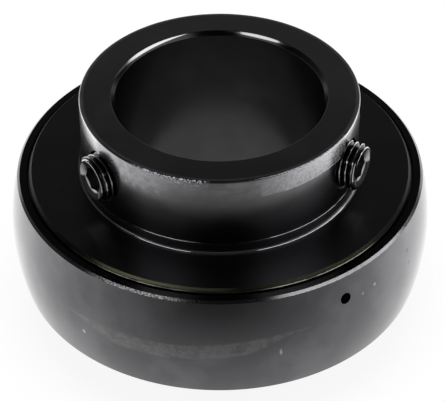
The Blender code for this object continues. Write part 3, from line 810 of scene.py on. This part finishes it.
def makeOuterRing(size):
    rounding = size["edgeRound"]
    edgeAngle = math.degrees(math.asin((faceHeight - size["edgeChamfer"]) / size["sphereRadius"]))
    sphere = arcPoints((0, 0), size["sphereRadius"], edgeAngle, -edgeAngle, size["sphereSteps"])
    faceEdge = sphere[0][0] - size["chamferWidth"]
    centre = (size["racewayBottom"] - size["racewaySection"], 0)
    racewayAngle = math.degrees(math.acos((size["landRadius"] - centre[0]) / size["racewaySection"]))
    raceway = arcPoints(centre, size["racewaySection"], -racewayAngle, racewayAngle, size["racewaySteps"])
    for arc in (sphere, raceway):
        arc[0] = (*arc[0][:2], rounding)
        arc[-1] = (*arc[-1][:2], rounding)
    lowerBore = [
        (size["recessRadius"] + size["recessChamfer"], -faceHeight, rounding / 2),
        (size["recessRadius"], -faceHeight + size["recessChamfer"], rounding / 2),
        (size["recessRadius"], -size["grooveHigh"], rounding),
        (size["grooveRadius"], -size["grooveHigh"], rounding),
        (size["grooveRadius"], -size["grooveLow"], rounding),
        (size["landRadius"], -size["grooveLow"], rounding),
    ]
    outline = softened([(faceEdge, faceHeight, rounding), *sphere, (faceEdge, -faceHeight, rounding),
                        *lowerBore, *raceway, *mirroredDown(lowerBore)])
    ring = turned("fineOuterRing", outline)

    radius = size["oilHoleRadius"]
    holeHeight = (size["racewaySection"] * math.sin(math.radians(racewayAngle))
                  + size["oilHoleBeyondRaceway"])
    surface = math.sqrt(size["sphereRadius"] ** 2 - holeHeight ** 2)
    hole = rodMesh("oilHole", [(radius, size["landRadius"] - cutPast), (radius, surface + cutPast)], 48)
    standRadially(hole, size["oilHoleAzimuth"], 0, ballPlane + holeHeight)
    combine(ring, hole, "DIFFERENCE")
    bakeDown(ring, hole)
    roundNormals(ring, outline)
    darkenHoles(ring)
    dressed(ring, "outer", "black_steel", [outerOxide, drilledBlack], "outer_ring")


screw = {
    "crestRadius": 3.95, "rootRadius": 3.37, "pitch": 1.0, "length": 7.5, "endChamfer": 0.45,
    "endRound": 0.06, "cupRadius": 2.1, "cupDepth": 1.2, "cupChamfer": 0.9, "cupRound": 0.05,
    "socketAcrossFlats": 4.0, "socketDepth": 3.2, "socketFloor": 0.8, "coneDepth": 0.5, "coneTip": 0.02,
    "mouthDepth": 0.55, "mouthRadius": 3.3, "mouthNarrow": 0.86, "trimWidth": 0.15, "sharpAngle": 32.0,
    "azimuths": {"right": 64.0, "left": -56.0}, "standsOut": {"right": 2.6, "left": 2.1},
    "twist": {"right": 17.0, "left": -15.0},
}
screwLow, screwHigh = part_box("grub_screw_left")
screwHeight = (screwLow.z + screwHigh.z) / 2 / mm

innerRing = {
    "boreRadius": 17.5, "outsideRadius": 23.45, "longEnd": 25.4, "shortEnd": 17.5, "boreChamfer": 0.7,
    "longBoreChamfer": 0.62, "edgeChamfer": 0.45, "edgeRound": 0.07, "longEdgeRound": 0.36,
    "mouthRound": 0.16, "racewayBottom": 21.164, "racewaySection": 5.778, "racewaySteps": 28,
    "tapMinor": 4.03, "tapMajor": 4.4, "mouthWidth": 0.43, "mouthDepth": 0.8, "mouthFoot": (0.6, 0.9),
}


def makeInnerRing(size):
    centre = (size["racewayBottom"] + size["racewaySection"], 0)
    half = math.degrees(math.acos((centre[0] - size["outsideRadius"]) / size["racewaySection"]))
    raceway = arcPoints(centre, size["racewaySection"], 180 - half, 180 + half, size["racewaySteps"])
    rounding = size["edgeRound"]
    raceway[0] = (*raceway[0][:2], rounding)
    raceway[-1] = (*raceway[-1][:2], rounding)
    bore, outside = size["boreRadius"], size["outsideRadius"]
    outline = softened([
        (bore, size["longEnd"] - size["boreChamfer"], size["mouthRound"]),
        (bore + size["longBoreChamfer"], size["longEnd"], size["mouthRound"]),
        (outside, size["longEnd"], size["longEdgeRound"]),
        *raceway,
        (outside, -size["shortEnd"] + size["edgeChamfer"], rounding),
        (outside - size["edgeChamfer"], -size["shortEnd"], rounding),
        (bore + size["boreChamfer"], -size["shortEnd"], size["mouthRound"]),
        (bore, -size["shortEnd"] + size["boreChamfer"], size["mouthRound"]),
    ])
    ring = turned("fineInnerRing", outline)
    minor, deepest = size["tapMinor"], outside - size["mouthDepth"]
    flare = size["mouthWidth"] * (size["mouthDepth"] + cutPast) / size["mouthDepth"]
    footWidth, footDepth = size["mouthFoot"]
    tools = []
    for side, azimuth in screw["azimuths"].items():
        tap = threadRod("tap_" + side, size["tapMajor"], minor, screw["pitch"],
                        bore - cutPast, outside + cutPast)
        mouth = rodMesh("mouth_" + side, [(minor - footWidth, deepest - footDepth), (minor, deepest),
                                          (minor + flare, outside + cutPast)], 96)
        for tool in (tap, mouth):
            standRadially(tool, azimuth, 0, screwHeight)
            combine(ring, tool, "DIFFERENCE")
            tools.append(tool)
    bakeDown(ring, *tools)
    roundNormals(ring, outline)
    darkenHoles(ring)
    dressed(ring, "inner", "black_steel", [innerOxide, drilledBlack], "inner_ring")


def makeScrew():
    # a threaded rod, trimmed by a turned outline with a cup point, with a hexagon socket
    length, chamfer, crest = screw["length"], screw["endChamfer"], screw["crestRadius"]
    rod = threadRod("screwRod", crest, screw["rootRadius"], screw["pitch"], -length - 1, 1)
    wide = crest + screw["trimWidth"]
    taper = screw["cupChamfer"] * (wide - screw["cupRadius"]) / (crest - screw["cupRadius"])
    corners = [(0, 0, 0), (crest - chamfer, 0, screw["endRound"]),
               (wide, -chamfer - screw["trimWidth"], 0), (wide, -length + taper, 0),
               (screw["cupRadius"], -length, screw["cupRound"]),
               (0, -length + screw["cupDepth"], 0)]
    envelope = turned("screwEnvelope", softened(corners), steps=96, height=0.0)
    corner = screw["socketAcrossFlats"] / math.sqrt(3)
    depth, mouth = screw["socketDepth"], screw["mouthDepth"]
    socket = rodMesh("socket", [(screw["coneTip"], -depth - screw["coneDepth"]),
                                (corner * screw["socketFloor"], -depth), (corner, -depth),
                                (corner, cutPast)], 6)
    narrow = corner * screw["mouthNarrow"]
    wideMouth = screw["mouthRadius"] + cutPast * (screw["mouthRadius"] - narrow) / mouth
    countersink = rodMesh("socketMouth", [(narrow, -mouth), (wideMouth, cutPast)], 96)
    combine(rod, envelope, "INTERSECT")
    combine(rod, socket, "DIFFERENCE")
    combine(rod, countersink, "DIFFERENCE")
    bakeDown(rod, envelope, socket, countersink)
    rod.data.shade_smooth()
    rod.data.set_sharp_from_angle(angle=math.radians(screw["sharpAngle"]))
    rod.data.materials.clear()
    rod.data.materials.append(screwBlack)
    return rod


def placeScrews():
    pattern = makeScrew()
    for side, azimuth in screw["azimuths"].items():
        piece = linked("fineGrubScrew_" + side, pattern.data)
        standRadially(piece, azimuth, innerRing["outsideRadius"] + screw["standsOut"][side], screwHeight)
        twist = Matrix.Rotation(math.radians(screw["twist"][side]), 3, "Z")
        piece.rotation_euler = (piece.rotation_euler.to_matrix() @ twist).to_euler()
        dressed(piece, "screw_" + side, "screw_steel", [], "grub_screw_" + side)
    bpy.data.objects.remove(pattern, do_unlink=True)


flinger = {
    "outsideRadius": 32.55, "discLow": 10.0, "discHigh": 10.8, "edgeRound": 0.05,
    "bevelWidth": 0.36, "bevelHeight": 0.4, "burr": 0.1, "burrHeight": 0.14, "seamBurr": 0.07,
    "collarInside": 23.49, "collarOutside": 23.89, "collarTop": 12.6, "collarRound": 0.05,
    "bend": 0.45, "heel": 0.9, "burrRound": 0.02,
}


def makeFlinger(size, upper):
    bendCentre = (size["collarOutside"] + size["bend"], size["discHigh"] + size["bend"])
    heelCentre = (size["collarInside"] + size["heel"], size["discLow"] + size["heel"])
    bevelFrom = size["outsideRadius"] - size["bevelWidth"]
    burrRadius = size["outsideRadius"] + size["burr"]
    corners = [
        (size["collarInside"], size["collarTop"] + size["seamBurr"], size["burrRound"]),
        (size["collarInside"] + size["seamBurr"], size["collarTop"], 0),
        (size["collarOutside"], size["collarTop"], size["collarRound"]),
        *arcPoints(bendCentre, size["bend"], 180, 270),
        (bevelFrom, size["discHigh"], size["edgeRound"]),
        (size["outsideRadius"], size["discHigh"] - size["bevelHeight"], size["edgeRound"]),
        (size["outsideRadius"], size["discLow"] + size["burrHeight"] + size["burr"], 0),
        (burrRadius, size["discLow"] + size["burrHeight"], size["burrRound"]),
        (burrRadius, size["discLow"], size["burrRound"]),
        *arcPoints(heelCentre, size["heel"], 270, 180),
    ]
    outline = softened(corners if upper else mirroredDown(corners), steps=6)
    name = "Upper" if upper else "Lower"
    disc = turned("fineFlinger" + name, outline, paint=lambda radius: int(radius > bevelFrom + 0.02))
    roundNormals(disc, outline)
    dressed(disc, "inner", "flinger_steel", [flingerBlack, flingerCutEdge], "flinger_" + name.lower())


seal = {
    "plateInside": 24.54, "plateOutside": 33.35, "plateLow": 7.55, "plateHigh": 8.15,
    "lipTipRadius": 23.54, "lipOutside": 25.84, "lipHigh": 8.65, "lipLean": 0.3, "lipTip": 0.2,
    "lipThickness": 0.5, "insideRound": 0.05, "outsideRound": 0.1, "lipRound": 0.15,
}


def makeSeal(size, upper):
    name = "Upper" if upper else "Lower"
    inside, outside = size["insideRound"], size["outsideRound"]
    plate = [(size["plateInside"], size["plateHigh"], inside),
             (size["plateOutside"], size["plateHigh"], outside),
             (size["plateOutside"], size["plateLow"], outside),
             (size["plateInside"], size["plateLow"], inside)]
    shoulder = size["plateInside"] - size["lipThickness"]
    tipRadius, tipHigh = size["lipTipRadius"], size["lipHigh"] + size["lipLean"]
    lip = [(tipRadius, tipHigh, inside), (tipRadius + size["lipTip"], tipHigh, inside),
           (shoulder, size["lipHigh"], outside), (size["lipOutside"], size["lipHigh"], size["lipRound"]),
           (size["lipOutside"], size["plateHigh"], 0), (shoulder, size["plateHigh"], 0),
           (tipRadius, tipHigh - size["lipTip"], inside)]
    for pieceName, corners, material, slotName, node in (
            ("fineSealPlate", plate, plateSteel, "plate_steel", "seal_plate_"),
            ("fineSealLip", lip, lipRubber, "lip_rubber", "seal_lip_")):
        outline = softened(corners if upper else mirroredDown(corners))
        piece = turned(pieceName + name, outline, steps=192)
        roundNormals(piece, outline)
        dressed(piece, "outer", slotName, [material], node + name.lower())


balls = {"radius": 5.556, "count": 9, "pitchRadius": 26.75, "around": 48, "upAndDown": 24}


def makeBalls(size):
    for number in range(1, size["count"] + 1):
        bm = bmesh.new()
        bmesh.ops.create_uvsphere(bm, u_segments=size["around"], v_segments=size["upAndDown"],
                                  radius=size["radius"] * mm)
        mesh = bpy.data.meshes.new(f"fineBall_{number}")
        bm.to_mesh(mesh)
        bm.free()
        mesh.shade_smooth()
        ball = linked(mesh.name, mesh)
        ball.location = outward(360 * (number - 1) / size["count"], size["pitchRadius"], ballPlane) * mm
        dressed(ball, f"ball_body_{number}", "ball_steel", [ballSteel], f"ball_{number}")


makeOuterRing(outerRing)
print("scene: outer ring made")
makeInnerRing(innerRing)
print("scene: inner ring made")
placeScrews()
print("scene: grub screws made")
for upper in (True, False):
    makeFlinger(flinger, upper)
    makeSeal(seal, upper)
print("scene: flingers and seals made")
makeBalls(balls)
for name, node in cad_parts.items():
    if name.startswith("cage_"):
        node.data.materials.clear()
        node.data.materials.append(cageSteel)
print("scene: balls and cage made")


# the camera sees plain white paper; what the steel mirrors of it falls off in front of the bearing
# and has painted shade inside the bore
floorLook = {
    "radius": 1200.0, "below": 0.02, "cameraGlow": 0.9, "cameraColour": 0.16,
    "mirrorGlow": 0.9, "mirrorColour": 0.25, "boreFade": (18.0, 21.0), "boreLevel": 0.2,
    "nearRadius": 40.0, "fade": 32.0, "nearLevel": 0.36, "farLevel": 0.045,
    "sideAngle": 96.0, "sidePower": 1.9,
}


def makeFloor(look):
    bm = bmesh.new()
    bmesh.ops.create_circle(bm, cap_ends=True, segments=96, radius=look["radius"] * mm)
    mesh = bpy.data.meshes.new("floor")
    bm.to_mesh(mesh)
    bm.free()
    floor = linked("floor", mesh)
    floor.location.z = -look["below"] * mm
    material, tree = newMaterial("floorPaper")
    tree.nodes.remove(tree.nodes["Principled BSDF"])
    place = tree.add("ShaderNodeTexCoord")["Object"]
    spot = tree.use(turnedPlace, Place=place)
    beyond = tree.calc("SUBTRACT", look["nearRadius"], spot["Radius"])
    fading = tree.calc("EXPONENT", tree.calc("DIVIDE", beyond, look["fade"]))
    front = tree.calc("ADD", tree.calc("MULTIPLY", fading, look["nearLevel"]), look["farLevel"])
    turn = tree.calc("DIVIDE", tree.calc("ABSOLUTE", spot["Azimuth"]), look["sideAngle"])
    aside = tree.calc("POWER", tree.calc("MINIMUM", turn, 1.0), look["sidePower"])
    level = tree.mapped(aside, 0.0, 1.0, front, 1.0, smooth=False)
    # painted shade: the mirrored floor is darker inside the bore
    level = tree.mapped(spot["Radius"], *look["boreFade"], look["boreLevel"], level)
    grey = tree.calc("MULTIPLY", level, look["mirrorColour"])
    colour = tree.add("ShaderNodeCombineColor", {"Red": grey, "Green": grey, "Blue": grey})[0]
    lit = tree.add("ShaderNodeBsdfDiffuse", {"Color": colour})[0]
    shine = tree.add("ShaderNodeEmission", {
        "Strength": tree.calc("MULTIPLY", level, look["mirrorGlow"])})[0]
    mirrored = tree.add("ShaderNodeAddShader", {0: lit, 1: shine})[0]
    paper = tree.add("ShaderNodeBsdfDiffuse", {"Color": (look["cameraColour"],) * 3})[0]
    glow = tree.add("ShaderNodeEmission", {"Strength": look["cameraGlow"]})[0]
    seen = tree.add("ShaderNodeAddShader", {0: paper, 1: glow})[0]
    byCamera = tree.add("ShaderNodeLightPath")["Is Camera Ray"]
    choose = tree.add("ShaderNodeMixShader", {0: byCamera, 1: mirrored, 2: seen})[0]
    tree.feed(tree.nodes["Material Output"].inputs["Surface"], choose)
    mesh.materials.append(material)


# what the steel mirrors above the floor: bright at the sides and behind, dark in front and on top
worldLook = {
    "horizon": 0.95, "haze": 0.095, "top": 0.01, "hazeFrom": 0.02, "hazeTo": 0.16,
    "topFrom": 0.56, "topTo": 0.68, "frontAngle": 30.0, "sideAngle": 100.0, "frontLevel": 0.06,
    "hazeFront": 0.012, "backFrom": 70.0, "backTo": 125.0, "fill": 0.25,
}


def makeWorld(look):
    world = bpy.data.worlds.new("studio")
    bpy.context.scene.world = world
    world.use_nodes = True
    tree = Wiring(world.node_tree)
    background = tree.nodes["Background"].inputs
    path = tree.add("ShaderNodeLightPath")
    direction = tree.add("ShaderNodeTexCoord")["Generated"]
    up = tree.add("ShaderNodeSeparateXYZ", {0: direction})["Z"]
    turn = tree.calc("ABSOLUTE", tree.use(turnedPlace, Place=direction)["Azimuth"])
    aside = tree.mapped(turn, look["frontAngle"], look["sideAngle"], look["frontLevel"], look["horizon"])
    behind = tree.mapped(turn, look["backFrom"], look["backTo"], look["hazeFront"], look["haze"])
    haze = tree.mapped(up, look["topFrom"], look["topTo"], behind, look["top"])
    glossy = tree.mapped(up, look["hazeFrom"], look["hazeTo"], aside, haze)
    shown = tree.calc("MAXIMUM", path["Is Camera Ray"],
                      tree.calc("MULTIPLY", path["Is Glossy Ray"], glossy))
    direct = tree.calc("MAXIMUM", path["Is Camera Ray"], path["Is Glossy Ray"])
    fill = tree.calc("MULTIPLY", tree.calc("SUBTRACT", 1.0, direct), look["fill"])
    tree.feed(background["Strength"], tree.calc("ADD", shown, fill))
    tree.feed(background["Color"], (1, 1, 1))


lamps = {
    "softboxLeft": {"azimuth": -49.0, "elevation": 45.0, "distance": 700.0, "width": 400.0,
                    "height": 115.0, "tilt": 17.0, "watts": 0.17, "mirrored": True},
    "softboxRight": {"azimuth": 74.0, "elevation": 37.5, "distance": 700.0, "width": 880.0,
                     "height": 115.0, "tilt": -25.0, "watts": 0.46, "mirrored": True},
    "overhead": {"azimuth": 180.0, "elevation": 88.0, "distance": 900.0, "width": 500.0,
                 "height": 500.0, "tilt": 0.0, "watts": 3.4, "mirrored": False},
}


def makeLamps():
    for name, look in lamps.items():
        data = bpy.data.lights.new(name, "AREA")
        data.shape = "RECTANGLE"
        data.size = look["width"] * mm
        data.size_y = look["height"] * mm
        data.energy = look["watts"]
        lamp = linked(name, data)
        lamp.visible_glossy = look["mirrored"]
        rise = math.radians(look["elevation"])
        target = Vector((0, 0, ballPlane * mm))
        lamp.location = target + outward(look["azimuth"], look["distance"] * math.cos(rise),
                                         look["distance"] * math.sin(rise)) * mm
        facing = (target - lamp.location).to_track_quat("-Z", "Y").to_matrix()
        lamp.rotation_euler = (facing @ Matrix.Rotation(math.radians(look["tilt"]), 3, "Z")).to_euler()


cameraLook = {
    "focalPixels": 2030.1, "imageWidth": 444, "sensor": 36.0, "distance": 354.3, "elevation": 40.10,
    "pitch": 39.84, "yaw": 0.07, "roll": -0.27, "clipStart": 0.01, "clipEnd": 10,
}


def makeCamera(look):
    data = bpy.data.cameras.new("photoCamera")
    data.sensor_width = look["sensor"]
    data.lens = look["focalPixels"] * look["sensor"] / look["imageWidth"]
    data.clip_start = look["clipStart"]
    data.clip_end = look["clipEnd"]
    camera = linked("photoCamera", data)
    bpy.context.scene.camera = camera
    pitch, yaw, roll, rise = (math.radians(look[key]) for key in ("pitch", "yaw", "roll", "elevation"))
    forward = Vector((math.sin(yaw) * math.cos(pitch), math.cos(yaw) * math.cos(pitch), -math.sin(pitch)))
    right = Vector((math.cos(yaw), -math.sin(yaw), 0))
    up = right.cross(forward)
    tiltedRight = math.cos(roll) * right + math.sin(roll) * up
    tiltedUp = -math.sin(roll) * right + math.cos(roll) * up
    turn = Matrix((tiltedRight, tiltedUp, -forward)).transposed().to_4x4()
    place = outward(0.0, look["distance"] * math.cos(rise),
                    look["distance"] * math.sin(rise) + ballPlane)
    camera.matrix_world = Matrix.Translation(place * mm) @ turn


makeFloor(floorLook)
makeWorld(worldLook)
makeLamps()
makeCamera(cameraLook)
bpy.context.scene.view_settings.view_transform = "Standard"
print("scene: floor, light and camera made")
